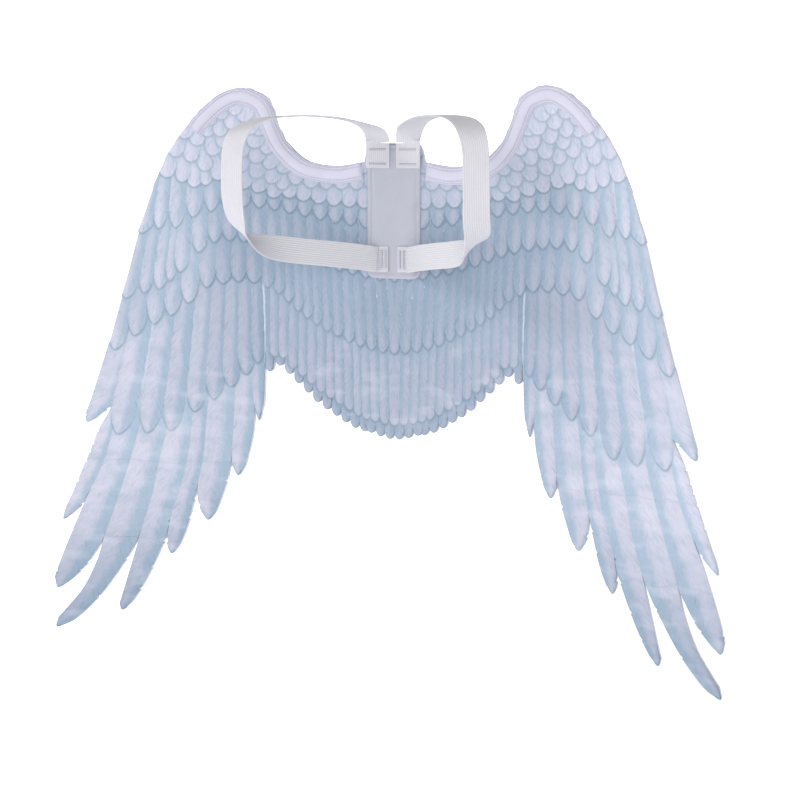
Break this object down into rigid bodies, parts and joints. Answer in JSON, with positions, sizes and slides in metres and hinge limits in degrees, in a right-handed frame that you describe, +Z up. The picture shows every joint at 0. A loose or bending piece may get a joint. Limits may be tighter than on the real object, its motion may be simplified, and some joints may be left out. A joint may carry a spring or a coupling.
{
  "type": "fairy wings",
  "caption": "Feathered costume wings for a child: two plush-faced foam wings with boned top edges on a padded centre, held on by two elastic shoulder loops.",
  "frame": {"origin": "centre of the back pad's front face, the face that lies against the wearer's back", "axes": "+Z up, -Y the way the wearer faces, +X towards the wearer's left"},
  "size_m": [0.708, 0.1069, 0.5526],
  "materials": {
    "plush_print": "short brushed pile printed with pale lavender and light blue feathers",
    "foam_core": "soft closed-cell foam",
    "casing_cloth": "pale lavender plush strip with lengthwise stitch rows",
    "boning": "translucent white nylon strip",
    "bone_cap": "dipped soft white ends",
    "pad_cloth": "plain brushed cloth over thin foam",
    "spine_binding": "woven tape",
    "elastic": "off-white ribbed elastic webbing",
    "thread": "dense satin-stitched polyester thread"
  },
  "bodies": {
    "centre": {"centre_front_skin": "plush_print", "centre_core": "foam_core", "centre_back_skin": "plush_print", "back_pad": "pad_cloth", "spine_tape": "spine_binding", "left_strap_tabs": "elastic", "left_strap_bar_tacks": "thread", "right_strap_tabs": "elastic", "right_strap_bar_tacks": "thread"},
    "left_wing": {"left_wing_front_skin": "plush_print", "left_wing_core": "foam_core", "left_wing_back_skin": "plush_print", "left_edge_casing": "casing_cloth", "left_edge_bone": "boning", "left_bone_caps": "bone_cap"},
    "left_tip": {"left_tip_front_skin": "plush_print", "left_tip_core": "foam_core", "left_tip_back_skin": "plush_print"},
    "left_strap": {"left_strap": "elastic"},
    "right_wing": {"right_wing_front_skin": "plush_print", "right_wing_core": "foam_core", "right_wing_back_skin": "plush_print", "right_edge_casing": "casing_cloth", "right_edge_bone": "boning", "right_bone_caps": "bone_cap"},
    "right_tip": {"right_tip_front_skin": "plush_print", "right_tip_core": "foam_core", "right_tip_back_skin": "plush_print"},
    "right_strap": {"right_strap": "elastic"}
  },
  "joints": [
    {"name": "left_wing_swing", "type": "hinge", "parent": "centre", "child": "left_wing", "pos_m": [0.03, 0.0073, 0], "axis": [0, 0, 1], "range_deg": [-20, 80], "stiffness_Nm_per_rad": 0.02},
    {"name": "left_tip_fold", "type": "hinge", "parent": "left_wing", "child": "left_tip", "pos_m": [0.22, -0.01705, -0.14575], "axis": [0.9753, -0.2211, 0], "range_deg": [-15, 170]},
    {"name": "left_strap_swing", "type": "hinge", "parent": "centre", "child": "left_strap", "pos_m": [0.016, -0.0008, 0.01], "axis": [0, 0, 1], "range_deg": [-30, 28]},
    {"name": "right_wing_swing", "type": "hinge", "parent": "centre", "child": "right_wing", "pos_m": [-0.03, 0.0073, 0], "axis": [0, 0, -1], "range_deg": [-20, 80], "stiffness_Nm_per_rad": 0.02},
    {"name": "right_tip_fold", "type": "hinge", "parent": "right_wing", "child": "right_tip", "pos_m": [-0.22, -0.01705, -0.14575], "axis": [0.9753, 0.2211, 0], "range_deg": [-15, 170]},
    {"name": "right_strap_swing", "type": "hinge", "parent": "centre", "child": "right_strap", "pos_m": [-0.016, -0.0008, 0.01], "axis": [0, 0, -1], "range_deg": [-30, 28]}
  ]
}
